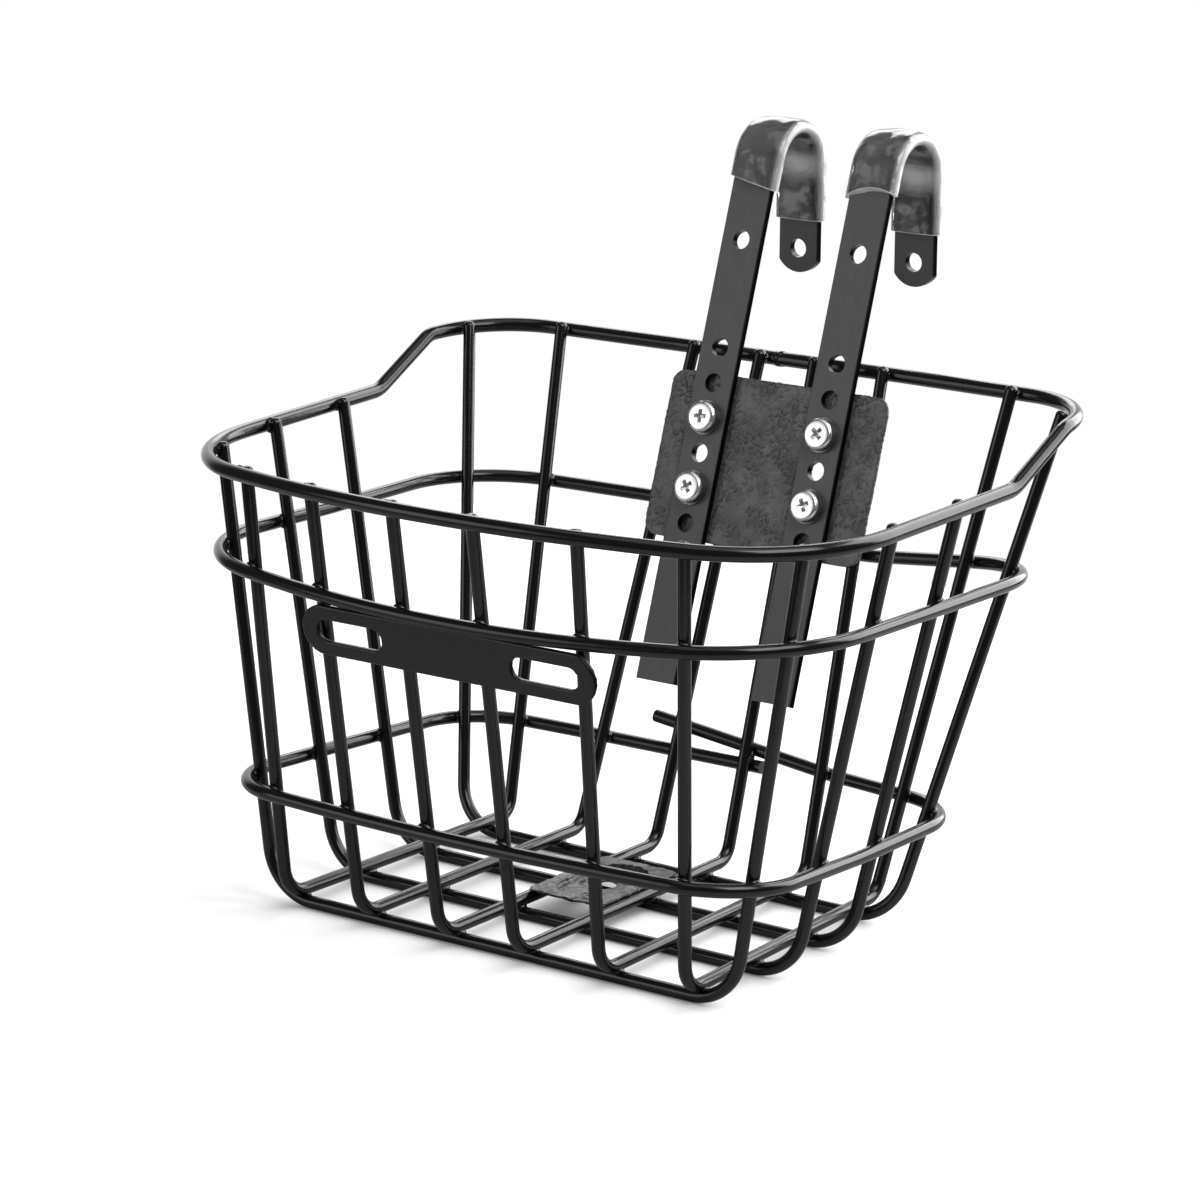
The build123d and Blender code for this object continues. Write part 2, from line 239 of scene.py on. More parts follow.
# %% Clear vinyl
def clear_vinyl():
    material, tree = new_material("clear_vinyl_tube")
    where = add_node(tree, "ShaderNodeTexCoord")
    ripples = add_node(tree, "ShaderNodeTexNoise", Vector=where.outputs["Object"],
                       Scale=1 / (7 * MM), Detail=1.5)
    bump = add_node(tree, "ShaderNodeBump", Strength=0.7, Distance=1.4 * MM,
                    Height=ripples.outputs["Fac"])
    clear = add_node(tree, "ShaderNodeBsdfPrincipled", Base_Color=linear("fafbfc"),
                     Roughness=0.12, IOR=1.53, Transmission_Weight=1.0,
                     Normal=bump.outputs["Normal"])
    # Pale grey: milky scattering at folds and cut ends, and a painted reflection where the wall
    # buckles.
    cloudy_and_reflection = add_node(tree, "ShaderNodeBsdfPrincipled", Base_Color=linear("c6c7c8"),
                      Roughness=0.3, IOR=1.53, Normal=bump.outputs["Normal"])
    spread = add_node(tree, "ShaderNodeAttribute", {"attribute_name": "milky_and_reflection"})
    blend = add_node(tree, "ShaderNodeMixShader")
    tree.links.new(spread.outputs["Fac"], blend.inputs[0])
    tree.links.new(clear.outputs[0], blend.inputs[1])
    tree.links.new(cloudy_and_reflection.outputs[0], blend.inputs[2])
    finish_material(tree, blend)
    return material


# %% [markdown]
# ## Which finish goes where
# The record names a material slot for each node, so a table from slot to finish dresses
# them all. Two finishes stand apart. The floor plate has the rear plate's paint drawn
# darker, as painted shade, and the washers and nuts have a duller zinc than the screws.

# %% Give each node its finish
finishes = {
    "coated_wire": plastisol_coating(),
    "textured_plate": wrinkle_paint("wrinkled_black_paint", "343435", "4a4a4b", 0.2),
    "strap_steel": satin_coat("satin_grey_electrocoat", "39393a", "08080a", 0.32,
                              stretch=(1, 0.06, 0.06)),
    "bracket_steel": satin_coat("satin_black_electrocoat", "0c0c0d", "0c0c0d", 0.3,
                                stretch=(0.06, 1, 1)),
    "zinc_steel": zinc_plate("bright_zinc_plate", "eeeff0", 0.18),
    "clear_vinyl": clear_vinyl(),
}
for part in frame["record"]["subparts"]:
    mesh = nodes[part["node"]].data
    mesh.materials.clear()
    mesh.materials.append(finishes[part["material_slot"]])
# The same wrinkle paint as the rear plate, drawn darker as painted shade.
shaded_floor_paint = wrinkle_paint("shaded_wrinkled_paint", "111112", "343435", 0.26)
dull_zinc = zinc_plate("dull_zinc_plate", "8a8b8c", 0.34)
nodes["clamp_washers"].data.materials[0] = dull_zinc

# %% [markdown]
# ## Small helpers for new pieces
# Every new piece is a mesh in its real place, so its object stays at the origin. One
# helper turns a bmesh into such a piece, gives it a finish and lets it ride on the basket.

# %% Piece helper
def add_piece(name, shape, finish):
    """Turn a bmesh into a piece that rides on the basket."""
    mesh = bpy.data.meshes.new(name)
    shape.to_mesh(mesh)
    shape.free()
    mesh.materials.append(finish)
    mesh.shade_smooth()
    piece = bpy.data.objects.new(name, mesh)
    bpy.context.scene.collection.objects.link(piece)
    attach(piece, BODY)
    print(f"{name}: {len(mesh.polygons)} faces")
    return piece


# %% Attribute helper
def mark(mesh, name, amount_at):
    """Store a number from 0 to 1 on every point of a mesh, for its material to read."""
    layer = mesh.attributes.new(name, "FLOAT", "POINT")
    for point, value in zip(mesh.vertices, layer.data):
        value.value = amount_at(point.co)


# %% [markdown]
# ## Coating at the welds
# Wherever two wires are welded, the dip coating bridges the corner between them, so each
# crossing has a soft fillet. The crossings are found in the model itself: a search tree of
# each wire's triangles tells where two wires sink into each other. A squashed ball laid
# flat between the two wires, a little wider than they are, reads as that fillet. Where two
# wires run side by side, as at a lap, there is no corner to fill.

# %% The wires and their search trees
from mathutils.bvhtree import BVHTree
from mathutils.geometry import intersect_ray_tri

wires = {name: node for name, node in nodes.items()
         if name == "rim" or name.endswith("_hoop") or "_wire_" in name}
trees = {}
for name, node in wires.items():
    points = [v.co.copy() for v in node.data.vertices]
    trees[name] = BVHTree.FromPolygons(points, [p.vertices[:] for p in node.data.polygons])
print("wires:", len(wires))

# %% Find the crossings
same_weld = 9 * MM
look_round = 5 * MM


def triangle(name, face):
    """The three corners of one triangle of a wire."""
    mesh = wires[name].data
    return [mesh.vertices[index].co for index in mesh.polygons[face].vertices]


def cut_points(one, other):
    """Points where the edges of one triangle pass through another triangle."""
    points = []
    for index in range(3):
        start, way = one[index], one[index - 1] - one[index]
        hit = intersect_ray_tri(*other, way, start, True)
        if hit and (hit - start).length < way.length:
            points.append(hit)
    return points


def crossings(first, second):
    """Middles of the places where these two wires sink into each other."""
    groups = []
    for first_face, second_face in trees[first].overlap(trees[second]):
        one, other = triangle(first, first_face), triangle(second, second_face)
        for spot in cut_points(one, other) + cut_points(other, one):
            near = [g for g in groups if (g[0] - spot).length < same_weld]
            if near:
                near[0].append(spot)
            else:
                groups.append([spot])
    return [sum(g, Vector()) / len(g) for g in groups]


def wire_direction(name, spot):
    """Which way a wire runs past this spot: square to the normals of the faces round it."""
    normals = [found[1] for found in trees[name].find_nearest_range(spot, look_round)]
    way = Vector()
    for normal in normals:
        step = normals[0].cross(normal)
        way += step if step.dot(way) >= 0 else -step
    return way.normalized()


# %% List the welds
names = sorted(wires)
welds = []
for index, first in enumerate(names):
    for second in names[index + 1:]:
        for spot in crossings(first, second):
            welds.append((spot, wire_direction(first, spot), wire_direction(second, spot)))
print("crossings:", len(welds))

# %% Lay a fillet at each crossing
import random

dice = random.Random(7)
fillet_radius = 2.6 * MM
fillet_height = 1.5 * MM
side_by_side = 0.95
coating = bmesh.new()
for spot, along, across in welds:
    if abs(along.dot(across)) > side_by_side:
        continue
    normal = along.cross(across).normalized()
    across = normal.cross(along)
    size = dice.uniform(0.92, 1.1)
    frame_turn = Matrix((along, across, normal)).transposed().to_4x4()
    width, height = fillet_radius * size, fillet_height * size
    squash = Matrix.Diagonal((width, width, height, 1))
    place = Matrix.Translation(spot) @ frame_turn @ squash
    bmesh.ops.create_icosphere(coating, subdivisions=3, radius=1.0, matrix=place)
add_piece("weld_coating", coating, finishes["coated_wire"])

# %% [markdown]
# ## The rim's own weld
# The rim is one wire whose ends are butt-welded in the middle of the back. The bead stands
# a little proud of the wire and is lumpy. It is a ball stretched along the wire, pushed in
# and out by noise.

# %% Butt weld
from mathutils import noise

rim_radius = 2.5 * MM
weld_x = -5.6 * MM
bead_size = (3.6, 2.75, 2.9)
lump_width, lump_height = 1.6 * MM, 0.35 * MM
rim_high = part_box("rim")[1]
surface, outward = trees["rim"].find_nearest(Vector((weld_x, rim_high[1], rim_high[2])))[:2]
bead_middle = surface - outward * rim_radius
bead = bmesh.new()
stretch = Matrix.Translation(bead_middle) @ Matrix.Diagonal((*bead_size, 1))
bmesh.ops.create_icosphere(bead, subdivisions=4, radius=MM, matrix=stretch)
for vert in bead.verts:
    lump = noise.noise(vert.co / lump_width) * lump_height
    vert.co += (vert.co - bead_middle).normalized() * lump
add_piece("rim_butt_weld", bead, finishes["coated_wire"])

# %% [markdown]
# ## Relief on the plates and the strip
# Thick paint rounds every edge, and wrinkle paint has ridges of its own. A copy of each
# sheet-metal node has its loose triangles merged and is remeshed into small even faces, so
# that there are points enough to move. Noise then moves them inwards only, so the paint
# never grows through a strap that lies on it. The noise is bent by a slower noise, so the
# ridges curl, and it comes and goes in patches, as wrinkle paint does. The noise that bends
# is a vector noise, whose starting point comes from the clock unless a seed is set, so one
# is set and every run gives the same ridges. The strip is smooth: its relief is next to
# nothing, and only its edges are softened.

# %% Remesh a sheet
def even_copy(name, voxel):
    """A copy of a node's mesh as even small quads."""
    shape = bmesh.new()
    shape.from_mesh(nodes[name].data)
    bmesh.ops.remove_doubles(shape, verts=shape.verts, dist=0.002 * MM)
    mesh = bpy.data.meshes.new(name + "_even")
    shape.to_mesh(mesh)
    shape.free()
    holder = bpy.data.objects.new(name + "_even", mesh)
    bpy.context.scene.collection.objects.link(holder)
    remesh = holder.modifiers.new("even", "REMESH")
    remesh.mode = "VOXEL"
    remesh.voxel_size = voxel
    drawn = holder.evaluated_get(bpy.context.evaluated_depsgraph_get())
    result = bmesh.new()
    result.from_mesh(drawn.to_mesh())
    bpy.data.objects.remove(holder)
    return result


# %% Wrinkles
noise.seed_set(7)


def clamped(value):
    """The value kept between 0 and 1."""
    return min(1.0, max(0.0, value))


def wrinkles(spot, pitch):
    """How deep the paint lies below its highest ridges here, from 0 to 1."""
    curl_length, curl, patch_length, stretch = 4 * MM, 1.4 * MM, 8 * MM, 1.7
    flow = spot + noise.noise_vector(spot / curl_length) * curl
    along = flow.x + 0.7 * (flow.y + flow.z)
    crosswise = 0.7 * (flow.z + flow.y) - flow.x
    fold = noise.noise(Vector((along / stretch, crosswise, flow.y / stretch)) / pitch)
    patch = noise.noise(spot / patch_length + Vector((3, 1, 2)))
    swell = clamped(0.5 + 0.9 * patch)
    return clamped(0.45 + fold * (0.25 + 0.75 * swell) + 0.4 * (swell - 0.5))


# %% Paint the sheets
def painted_sheet(name, finish, voxel, pitch, depth, soften):
    """Replace a node with an even copy that has softened edges and the paint's relief."""
    shape = even_copy(name, voxel)
    for repeat in range(soften):
        bmesh.ops.smooth_vert(shape, verts=shape.verts, factor=0.5,
                              use_axis_x=True, use_axis_y=True, use_axis_z=True)
    shape.normal_update()
    depths = [wrinkles(vert.co, pitch) for vert in shape.verts]
    moves = [vert.normal * (deep * depth) for vert, deep in zip(shape.verts, depths)]
    for vert, move in zip(shape.verts, moves):
        vert.co -= move
    piece = add_piece(name + "_painted", shape, finish)
    ridge = piece.data.attributes.new("ridge", "FLOAT", "POINT")
    for value, deep in zip(ridge.data, depths):
        value.value = 1 - deep
    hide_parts(name)


painted_sheet("rear_plate", finishes["textured_plate"],
              voxel=0.36 * MM, pitch=1.3 * MM, depth=0.32 * MM, soften=2)
painted_sheet("floor_plate", shaded_floor_paint,
              voxel=0.4 * MM, pitch=1.9 * MM, depth=0.6 * MM, soften=2)
painted_sheet("reflector_bracket", finishes["bracket_steel"],
              voxel=0.4 * MM, pitch=1.3 * MM, depth=0.05 * MM, soften=3)

# %% [markdown]
# ## Rings and turned shapes
# Screws and nuts are round shapes with a few steps. Each is drawn as one ring of points
# that is extruded again and again, and each new ring is set to the next radius and height,
# as if on a lathe. A ring may also be pulled into another outline, such as a cross.

# %% Ring helpers
def next_ring(shape, ring, outline, height):
    """Extrude a closed ring of edges and set the new points to an outline and height."""
    made = bmesh.ops.extrude_edge_only(shape, edges=ring)["geom"]
    verts = [item for item in made if isinstance(item, bmesh.types.BMVert)]
    for vert in verts:
        angle = math.atan2(vert.co.y, vert.co.x)
        reach = outline(angle)
        vert.co = (math.cos(angle) * reach, math.sin(angle) * reach, height)
    return [item for item in made if isinstance(item, bmesh.types.BMEdge)
            and all(vert in verts for vert in item.verts)]


def circle(radius):
    """A round outline as a reach for each angle, its radius in millimetres."""
    return lambda angle: radius * MM


def cross(arm, half_width):
    """A plus sign's outline as a reach for each angle, in millimetres."""
    def reach(angle):
        turn = abs((angle + math.pi / 4) % (math.pi / 2) - math.pi / 4)
        return min(arm / math.cos(turn), half_width / max(math.sin(turn), 0.01)) * MM
    return reach


def hexagon(across_flats):
    """A nut's outline as a reach for each angle, in millimetres."""
    def reach(angle):
        turn = abs((angle + math.pi / 6) % (math.pi / 3) - math.pi / 6)
        return across_flats / 2 / math.cos(turn) * MM
    return reach


def turned(outlines, segments, turn):
    """A closed shape through a list of (outline, height in mm), both ends filled."""
    shape = bmesh.new()
    first_outline, first_height = outlines[0]
    ring = bmesh.ops.create_circle(shape, segments=segments, radius=MM)["verts"]
    for vert in ring:
        angle = math.atan2(vert.co.y, vert.co.x)
        reach = first_outline(angle)
        vert.co = (math.cos(angle) * reach, math.sin(angle) * reach, first_height * MM)
    edges = shape.edges[:]
    bmesh.ops.contextual_create(shape, geom=edges)
    for outline, height in outlines[1:]:
        edges = next_ring(shape, edges, outline, height * MM)
    bmesh.ops.contextual_create(shape, geom=edges)
    bmesh.ops.recalc_face_normals(shape, faces=shape.faces)
    bmesh.ops.rotate(shape, verts=shape.verts, matrix=Matrix.Rotation(turn, 3, "Z"))
    return shape


# %% [markdown]
# ## Screws
# The screws are M6 with a low domed head and a cross recess. The recess is a plus sign
# whose walls narrow towards its floor, as a driver's tip does. Where each screw sits comes
# from its washer, and which way it points comes from the record's leg bolt, because that
# bolt stands square to the strap too.

# %% Where the screws sit
mounts = {mount["name"]: mount for mount in frame["record"]["mounts"]}
out_of_strap = Vector(mounts["leg_bolt_left"]["axis"]).normalized()
across = Vector((1, 0, 0))
up_strap = out_of_strap.cross(across)
washer_points = [v.co.copy() for v in nodes["clamp_washers"].data.vertices]
middle_height = sum(p.dot(up_strap) for p in washer_points) / len(washer_points)
screw_seats = []
for side in (-1, 1):
    for level_sign in (1, -1):
        own = [p for p in washer_points
               if p.x * side > 0 and (p.dot(up_strap) - middle_height) * level_sign > 0]
        seat = Vector()
        for way in (across, up_strap):
            reaches = [p.dot(way) for p in own]
            seat += way * (max(reaches) + min(reaches)) / 2
        seat += out_of_strap * max(p.dot(out_of_strap) for p in own)
        screw_seats.append(seat)
print("screw seats in mm:", [in_mm(seat) for seat in screw_seats])


def placed(shape, seat):
    """Stand a turned shape on a seat, its own Z out of the strap."""
    turn = Matrix((across, up_strap, out_of_strap)).transposed()
    bmesh.ops.rotate(shape, verts=shape.verts, matrix=turn)
    bmesh.ops.translate(shape, verts=shape.verts, vec=seat)
    return shape


def gathered(shapes):
    """Several bmeshes as one."""
    whole = bmesh.new()
    for shape in shapes:
        mesh = bpy.data.meshes.new("part")
        shape.to_mesh(mesh)
        shape.free()
        whole.from_mesh(mesh)
        bpy.data.meshes.remove(mesh)
    return whole


# %% Make the screws
segments = 96
thread_root, thread_crest, thread_turns = 2.6, 2.95, 9
shank_end, half_pitch = -9.6, 0.5
threads = [(circle(radius), shank_end + step * half_pitch)
           for step, radius in enumerate((thread_root, thread_crest) * thread_turns)]
dome = [(circle(radius), height) for radius, height in (
    (2.9, 0.0), (5.5, 0.0), (5.6, 0.5), (5.6, 1.9), (5.45, 2.6), (5.1, 3.0), (4.65, 3.22),
    (4.4, 3.28), (3.2, 3.3))]
recess = [(cross(2.45, 0.78), 3.3), (cross(2.0, 0.6), 2.6), (cross(0.9, 0.4), 1.7)]
screw_turns = (4, 38, 50, 28)
screws = [placed(turned(threads + dome + recess, segments, math.radians(degrees)), seat)
          for seat, degrees in zip(screw_seats, screw_turns)]
screw_piece = add_piece("cross_recess_screws", gathered(screws), finishes["zinc_steel"])
screw_piece.data.set_sharp_from_angle(angle=math.radians(35))


def screw_shade(point):
    """Painted shade: most on the skirt of a screw's head, about half in its recess, none
    elsewhere.
    """
    seat = min(screw_seats, key=lambda place: (place - point).length)
    height = (point - seat).dot(out_of_strap)
    radius = (point - seat - out_of_strap * height).length
    on_skirt = radius > 5.3 * MM and height < 2.0 * MM
    in_recess = radius < 2.6 * MM and 0.4 * MM < height < 3.25 * MM
    return 1.0 if on_skirt else 0.5 if in_recess else 0.0


mark(screw_piece.data, "painted_shade", screw_shade)
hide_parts("clamp_screws")

# %% [markdown]
# ## Nuts
# Thin M6 nuts hold the screws behind the plate. Each is a hexagon 10 mm across flats whose
# outer face is chamfered to a circle. How thick they are is measured on the nodes that
# they stand for.

# %% Make the nuts
nut_reaches = [v.co.dot(out_of_strap) for v in nodes["clamp_nuts"].data.vertices]
nut_back, nut_front = (reach / MM for reach in (min(nut_reaches), max(nut_reaches)))
seat_reach = screw_seats[0].dot(out_of_strap) / MM
back_face, front_face = nut_back - seat_reach, nut_front - seat_reach
bore, across_flats, chamfer_radius, chamfer_height = 3.0, 10.0, 4.75, 0.55
nut_profile = [(circle(bore), back_face), (circle(chamfer_radius), back_face),
               (hexagon(across_flats), back_face + chamfer_height),
               (hexagon(across_flats), front_face), (circle(bore), front_face)]
nut_turns = (10, 41, 22, 53)
nuts = [placed(turned(nut_profile, segments, math.radians(degrees)), seat)
        for seat, degrees in zip(screw_seats, nut_turns)]
nut_piece = add_piece("hex_nuts", gathered(nuts), dull_zinc)
nut_piece.data.set_sharp_from_angle(angle=math.radians(20))
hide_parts("clamp_nuts")

# %% [markdown]
# ## Clear tubes over the hooks
# Each tube was pushed on flat over the strap and bends round the hook with it. Its section
# is a flattened ring, one outline outside and one inside. The section is extruded up the
# strap, spun round the hook's middle and extruded down the tail. The tube was cut by hand:
# its front end is slanted on one strap and arched on the other. Its wall waves a little
# over the bend, and has buckled inwards on the inside of it, at the top of the tail.

# %% Tube section and path
hook_middle = Vector(mounts["handlebar_seat"]["pos_m"])
strap_low, strap_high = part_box("hook_strap_left")
strap_thickness = 2.8 * MM
hook_radius = strap_high[2] - hook_middle.z - strap_thickness / 2
hook_angle = math.pi - math.asin(out_of_strap.z)
strap_middle_x = (strap_low[0] + strap_high[0]) / 2
tail_length = hook_middle.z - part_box("clear_sleeve_left")[0][2]
outside_width, outside_depth = 10.0, 2.75
inside_width, inside_depth = 9.3, 2.05
lip = 0.3 * MM
print("hook radius in mm:", round(hook_radius / MM, 2), "tail:", round(tail_length / MM, 1))


# %% One skin of the tube
def flat_ring(half_width, half_depth):
    """Outline of a flattened tube: a rounded oblong as a reach for each angle."""
    power = 3.2

    def reach(angle):
        wide = abs(math.cos(angle) / half_width) ** power
        deep = abs(math.sin(angle) / half_depth) ** power
        return (wide + deep) ** (-1 / power) * MM
    return reach


def drawn_out(shape, edges, way):
    """Extrude a ring of edges along a way and return the new ring."""
    made = bmesh.ops.extrude_edge_only(shape, edges=edges)["geom"]
    verts = [item for item in made if isinstance(item, bmesh.types.BMVert)]
    bmesh.ops.translate(shape, verts=verts, vec=way)
    return [item for item in made if isinstance(item, bmesh.types.BMEdge)]


def tube_wall(half_width, half_depth, front_length):
    """One skin of the tube, open at both ends, for a strap in the middle of the basket."""
    shape = bmesh.new()
    outline = flat_ring(half_width, half_depth)
    front = hook_middle + out_of_strap * hook_radius - up_strap * front_length
    for vert in bmesh.ops.create_circle(shape, segments=64, radius=1.0)["verts"]:
        angle = math.atan2(vert.co.y, vert.co.x)
        place = across * math.cos(angle) + out_of_strap * math.sin(angle)
        vert.co = front + place * outline(angle)
    edges = shape.edges[:]
    for step in [lip] + [(front_length - lip) / 6] * 6:
        edges = drawn_out(shape, edges, up_strap * step)
    spun = bmesh.ops.spin(shape, geom=edges, cent=hook_middle, axis=(1, 0, 0),
                          angle=-hook_angle, steps=36, use_merge=False, use_duplicate=False)
    edges = [item for item in spun["geom_last"] if isinstance(item, bmesh.types.BMEdge)]
    for step in [(tail_length - lip) / 10] * 10 + [lip]:
        edges = drawn_out(shape, edges, Vector((0, 0, -step)))
    return shape


# %% Where the wall buckles
def away_from_bar(point):
    """The way to a point from the bar's middle line, square to that line."""
    return Vector((0, point.y - hook_middle.y, point.z - hook_middle.z))


def pinch(point, side_x):
    """How far the wall has buckled there, 0 to 1: most just inside the tail's start."""
    from_bar = away_from_bar(point)
    if from_bar.y < 0 or from_bar.length > hook_radius:
        return 0.0
    buckle_drop, buckle_spread = 1.0 * MM, 3.5 * MM
    far = (from_bar.z + buckle_drop) / buckle_spread
    sideways = (point.x - side_x) / (outside_width * MM)
    return math.exp(-far ** 2 / 2) * (1 - sideways ** 2)


# %% Make the tubes
def clear_tube(name, side_x, front_length, slant, arch):
    """A tube with a wall, cut at the front with a slant and an arch (both in mm)."""
    cut_reach, lift, buckle_depth = 12 * MM, 0.4 * MM, 2.0 * MM
    wave_length, bend_drop, outer_skin = 7 * MM, 8 * MM, 1.6 * MM
    shape = gathered([tube_wall(outside_width, outside_depth, front_length),
                      tube_wall(inside_width, inside_depth, front_length)])
    wall_faces = len(shape.faces)
    rims = [edge for edge in shape.edges if edge.is_boundary]
    bmesh.ops.bridge_loops(shape, edges=[e for e in rims if e.verts[0].co.y < hook_middle.y])
    bmesh.ops.bridge_loops(shape, edges=[e for e in rims if e.is_boundary])
    bmesh.ops.recalc_face_normals(shape, faces=shape.faces)
    front = hook_middle + out_of_strap * hook_radius - up_strap * front_length
    shape.normal_update()
    for vert in shape.verts:
        spot = vert.co - front
        near_end = max(0.0, 1 - spot.dot(up_strap) / cut_reach)
        if vert.co.y >= hook_middle.y:
            near_end = 0.0
        sideways = vert.co.x / (outside_width * MM)
        crown = 1 - sideways ** 2
        front_wall = 1.0 if spot.dot(out_of_strap) > 0 else 0.0
        vert.co += up_strap * (-slant * sideways + arch * crown * front_wall) * near_end * MM
        vert.co += out_of_strap * (lift * crown * front_wall * near_end ** 2)
        outward = away_from_bar(vert.co)
        if outward.z > -bend_drop and outward.length > hook_radius + outer_skin:
            wave = noise.noise((vert.co + across * side_x) / wave_length)
            vert.co += outward.normalized() * (0.3 + 0.5 * wave) * crown * MM
        vert.co.y -= buckle_depth * pinch(vert.co, 0.0)
    bmesh.ops.translate(shape, verts=shape.verts, vec=Vector((side_x, 0, 0)))
    shape.normal_update()
    piece = add_piece(name, shape, finishes["clear_vinyl"])
    piece.data.set_sharp_from_angle(angle=math.radians(50))

    def milk_and_reflection(point):
        """Milky along the folded edges, and most where the wall has buckled, as a painted
        reflection.
        """
        fold_start, fold_width = 8.3 * MM, 1.3 * MM
        fold = clamped((abs(point.x - side_x) - fold_start) / fold_width)
        return clamped(0.42 * fold + 0.85 * pinch(point, side_x) ** 1.5)

    mark(piece.data, "milky_and_reflection", milk_and_reflection)
    layer = piece.data.attributes["milky_and_reflection"]
    for polygon in piece.data.polygons:
        if polygon.index >= wall_faces:
            for point in polygon.vertices:
                layer.data[point].value = 1.0
    return piece


front_reach = 9.8 * MM
left_tube = clear_tube("clear_tube_left", strap_middle_x, front_reach, 2.2, 0.0)
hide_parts("clear_sleeve_left")
right_tube = clear_tube("clear_tube_right", -strap_middle_x, front_reach, -1.3, 2.7)
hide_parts("clear_sleeve_right")

# %% [markdown]
# ## Camera
# A long lens, looking down a little from the front right corner. The turn, height and tilt
# are angles; the small shift is the framing.

# %% Camera
azimuth = math.radians(35.79)
elevation = math.radians(14.0)
roll = math.radians(0.32)
aim = Vector((-4.55, -26.55, 117.13)) * MM
distance = 1451.8 * MM
back = Vector((math.sin(azimuth) * math.cos(elevation),
               -math.cos(azimuth) * math.cos(elevation), math.sin(elevation)))
rightwards = Vector((math.cos(azimuth), math.sin(azimuth), 0))
camera_data = bpy.data.cameras.new("studio_camera")
camera_data.sensor_width = 36
camera_data.lens = 131.14
camera_data.shift_x = 0.0044
camera_data.shift_y = -0.0264
camera = bpy.data.objects.new("studio_camera", camera_data)
turn = Matrix((rightwards, back.cross(rightwards), back)).transposed()
turn = turn @ Matrix.Rotation(roll, 3, "Z")
camera.matrix_world = Matrix.Translation(aim + back * distance) @ turn.to_4x4()
bpy.context.scene.collection.objects.link(camera)
bpy.context.scene.camera = camera
print("camera at", [round(v, 3) for v in camera.location])

# %% [markdown]
# ## Background
# Black gloss is drawn by what it reflects, so the world around the set has three looks. To
# the eye, and through the clear vinyl, it is white. As a light it is even and a little
# grey. In reflections it is a dark room with two white things in it: a sheet behind the
# basket, and a card at the left front, which the straps, the plates and the screw heads
# mirror. The dark between them keeps black paint black.

# %% What is seen directly
def seen_directly(tree):
    """1 for what the eye sees, also through clear vinyl, and 0 for all other light."""
    path = add_node(tree, "ShaderNodeLightPath")
    either = add_node(tree, "ShaderNodeMath", {"operation": "MAXIMUM"})
    tree.links.new(path.outputs["Is Camera Ray"], either.inputs[0])
    tree.links.new(path.outputs["Is Transmission Ray"], either.inputs[1])
    return either.outputs[0]


# %% What is mirrored
world = bpy.data.worlds.new("white_studio")
bpy.context.scene.world = world
world.use_nodes = True
tree = world.node_tree
tree.nodes.clear()
where = add_node(tree, "ShaderNodeTexCoord")


def glow_towards(direction, edge, core, dark, bright):
    """Brightness that rises from dark to bright as a direction nears this one."""
    nearness = add_node(tree, "ShaderNodeVectorMath", {"operation": "DOT_PRODUCT"})
    tree.links.new(where.outputs["Generated"], nearness.inputs[0])
    nearness.inputs[1].default_value = direction
    rise = add_node(tree, "ShaderNodeMapRange", {"interpolation_type": "SMOOTHSTEP"},
                    Value=nearness.outputs["Value"], From_Min=edge, From_Max=core,
                    To_Min=dark, To_Max=bright)
    return rise.outputs["Result"]


ahead = Vector((-math.sin(azimuth), math.cos(azimuth), 0))
card = glow_towards((-0.58, -0.80, 0.155), 0.92, 0.975, 0.1, 1.6)
sheet = glow_towards(ahead, 0.6, 0.92, 0.0, 1.0)
brightest = add_node(tree, "ShaderNodeMath", {"operation": "MAXIMUM"})
tree.links.new(card, brightest.inputs[0])
tree.links.new(sheet, brightest.inputs[1])
print("the sheet is mirrored towards", [round(value, 2) for value in ahead])

# %% World
even = add_node(tree, "ShaderNodeBackground", Color=linear("ffffff"), Strength=0.65)
mirrored = add_node(tree, "ShaderNodeBackground", Color=linear("ffffff"),
                    Strength=brightest.outputs[0])
backdrop = add_node(tree, "ShaderNodeBackground", Color=linear("ffffff"), Strength=1.0)
path = add_node(tree, "ShaderNodeLightPath")
lighting = add_node(tree, "ShaderNodeMixShader")
tree.links.new(path.outputs["Is Glossy Ray"], lighting.inputs[0])
tree.links.new(even.outputs[0], lighting.inputs[1])
tree.links.new(mirrored.outputs[0], lighting.inputs[2])
choose = add_node(tree, "ShaderNodeMixShader")
tree.links.new(seen_directly(tree), choose.inputs[0])
tree.links.new(lighting.outputs[0], choose.inputs[1])
tree.links.new(backdrop.outputs[0], choose.inputs[2])
world_output = add_node(tree, "ShaderNodeOutputWorld")
tree.links.new(choose.outputs[0], world_output.inputs["Surface"])
print("world nodes:", len(tree.nodes))

# %% [markdown]
# ## Floor
# The floor is a small white table that keeps the basket's shadow. A faint glow that only
# the eye sees lifts it to the white of the background. For bounced light and in
# reflections the table is a dim grey, so that the undersides of the black wires stay dark.

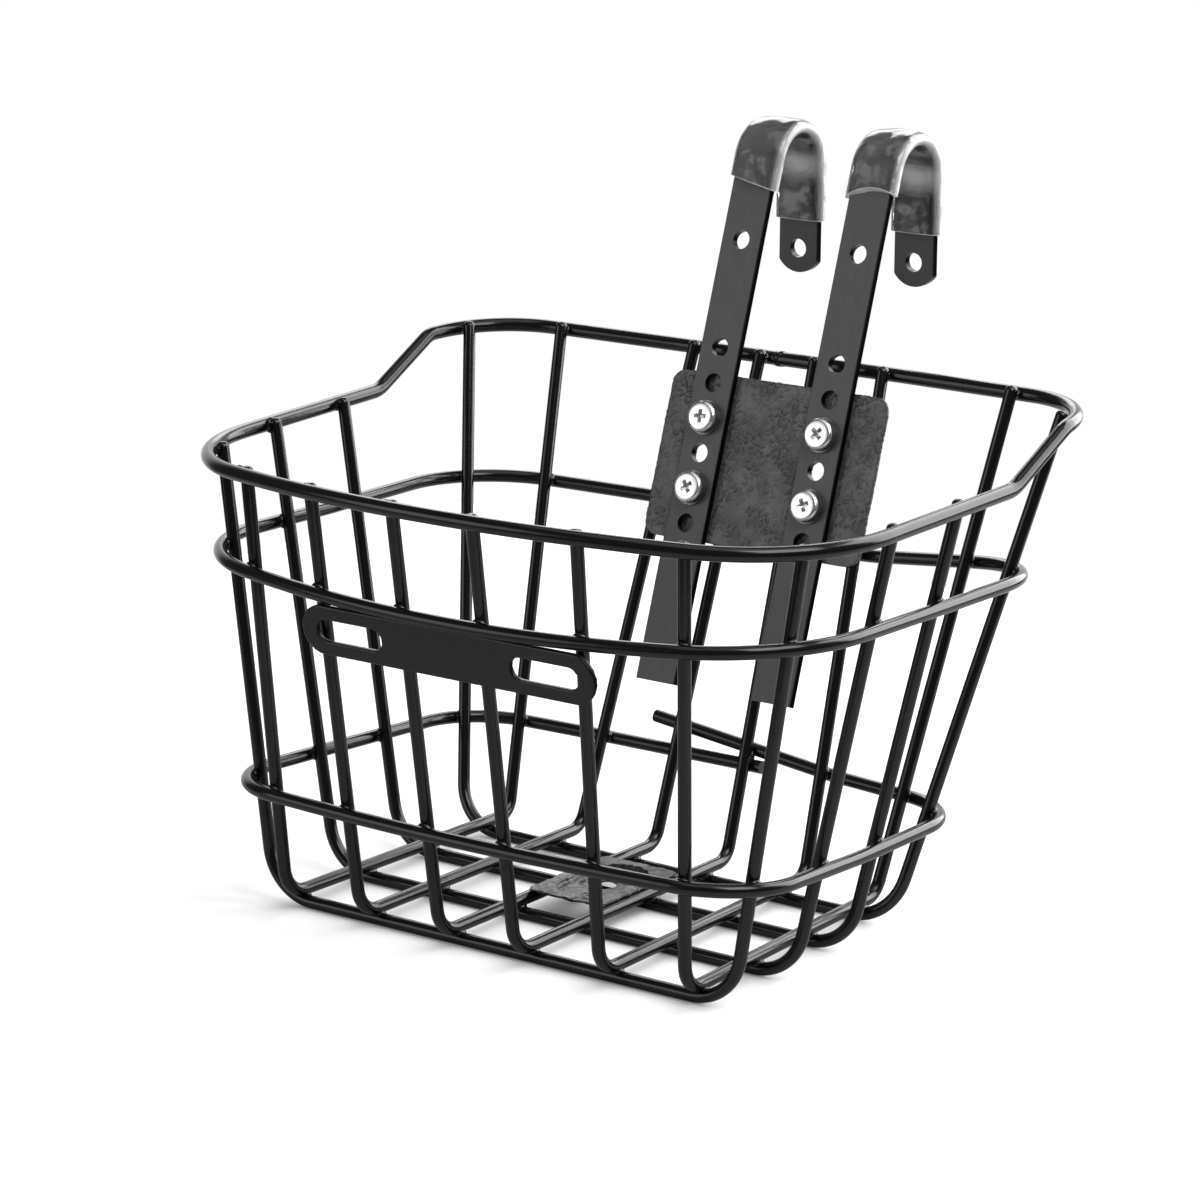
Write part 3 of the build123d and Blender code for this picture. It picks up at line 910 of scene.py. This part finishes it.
# %% Floor
material, tree = new_material("white_floor")
seen = seen_directly(tree)
lift = add_node(tree, "ShaderNodeMath", {"operation": "MULTIPLY"})
tree.links.new(seen, lift.inputs[0])
lift.inputs[1].default_value = 0.1
dim_paper = add_node(tree, "ShaderNodeBsdfDiffuse", Color=linear("9c9c9c"))
white_paper = add_node(tree, "ShaderNodeBsdfDiffuse", Color=linear("e2e2e2"))
paper = add_node(tree, "ShaderNodeMixShader")
tree.links.new(seen, paper.inputs[0])
tree.links.new(dim_paper.outputs[0], paper.inputs[1])
tree.links.new(white_paper.outputs[0], paper.inputs[2])
glow = add_node(tree, "ShaderNodeEmission", Color=linear("ffffff"), Strength=lift.outputs[0])
both = add_node(tree, "ShaderNodeAddShader")
tree.links.new(paper.outputs[0], both.inputs[0])
tree.links.new(glow.outputs[0], both.inputs[1])
finish_material(tree, both)

# %% Table top
half_width = 0.42
floor_shape = bmesh.new()
bmesh.ops.create_grid(floor_shape, x_segments=1, y_segments=1, size=half_width)
floor_mesh = bpy.data.meshes.new("studio_floor")
floor_shape.to_mesh(floor_mesh)
floor_shape.free()
floor_mesh.materials.append(material)
floor = bpy.data.objects.new("studio_floor", floor_mesh)
bpy.context.scene.collection.objects.link(floor)
print("table top:", 2 * half_width, "m wide")

# %% [markdown]
# ## Lamps
# Four softboxes light the set. The large one stands close by on the right, and its
# reflection runs as a pale band along the rim and the hoops there. A small one high on the
# right lights the wires' tops, one behind on the left lights the hooks from the back, and a
# wide one overhead keeps the shadow soft.

# %% Lamps
def area_lamp(name, place, aim_at, width, height, watts):
    """A soft rectangular lamp at a place in metres, turned to face a point."""
    lamp = bpy.data.lights.new(name, "AREA")
    lamp.shape = "RECTANGLE"
    lamp.size = width
    lamp.size_y = height
    lamp.energy = watts
    holder = bpy.data.objects.new(name, lamp)
    holder.location = place
    holder.rotation_euler = (Vector(aim_at) - Vector(place)).to_track_quat("-Z", "Y").to_euler()
    bpy.context.scene.collection.objects.link(holder)
    radiance = watts / (math.pi * width * height)
    print(f"{name}: {watts} W, radiance {radiance:.1f}")


side_place = rightwards * 0.62 + ahead * 0.25 + Vector((0, 0, 0.45))
area_lamp("side_softbox", side_place, (0.05, 0, 0.15), 0.9, 0.84, 13)
area_lamp("upper_softbox", (0.55, -0.2, 0.77), (0.1, 0, 0.15), 0.5, 0.5, 3.8)
area_lamp("back_softbox", (-0.57, 0.75, 0.68), (0, 0, 0.2), 0.55, 0.45, 2.6)
area_lamp("top_softbox", (0.1, -0.2, 1.6), (0, 0, 0.1), 1.4, 1.4, 5)

# %% View settings
bpy.context.scene.view_settings.view_transform = "Standard"
